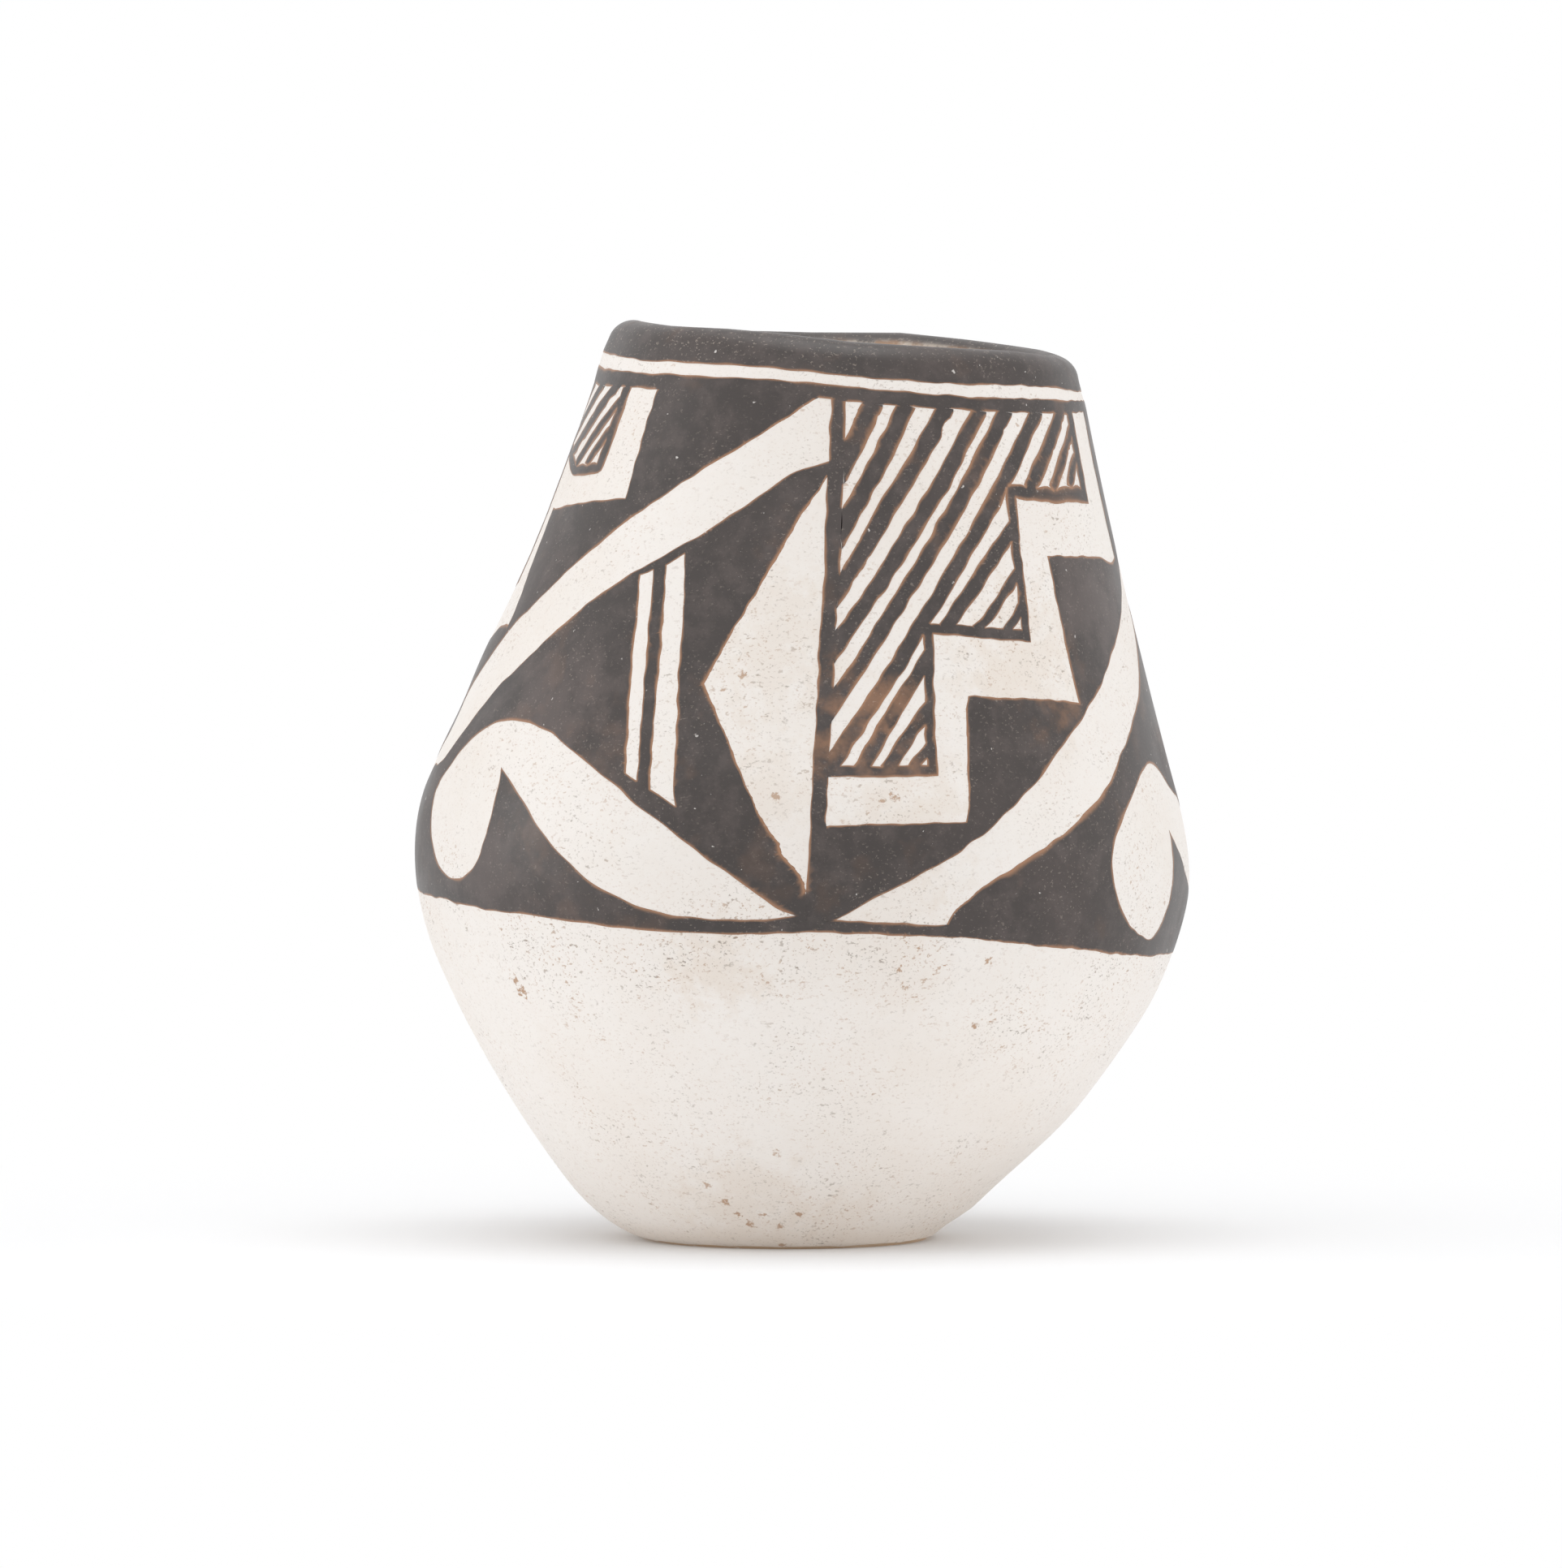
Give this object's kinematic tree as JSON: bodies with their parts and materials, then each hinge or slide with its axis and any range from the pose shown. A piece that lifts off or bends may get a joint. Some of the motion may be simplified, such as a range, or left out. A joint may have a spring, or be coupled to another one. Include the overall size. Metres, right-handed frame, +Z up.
{
  "type": "pottery jar",
  "caption": "Small coil-built pottery jar with a wide belly, tapering neck and flat foot, white slip and black painted step, leaf and hook bands; holds small things.",
  "frame": {"origin": "on the floor, under the middle of the jar's outer box", "axes": "+Z up, the height of the jar; -Y is the front of the picture; the jar leans a little towards +X"},
  "size_m": [0.0751, 0.0751, 0.0901],
  "materials": {
    "clay": "matte fired clay",
    "slip": "polished white slip",
    "paint": "matte black mineral paint"
  },
  "bodies": {
    "root": {"base": "clay", "wall_coil_1": "clay", "wall_coil_2": "clay", "wall_coil_3": "clay", "wall_coil_4": "clay", "wall_coil_5": "clay", "wall_coil_6": "clay", "wall_coil_7": "clay", "rim_coil": "clay", "white_slip": "slip", "rim_band": "paint", "neck_line": "paint", "base_line": "paint", "divider_1": "paint", "hatched_step_1": "paint", "terrace_1": "paint", "leaf_1": "paint", "divider_2": "paint", "hatched_step_2": "paint", "terrace_2": "paint", "leaf_2": "paint", "divider_3": "paint", "hatched_step_3": "paint", "terrace_3": "paint", "leaf_3": "paint"}
  },
  "joints": []
}
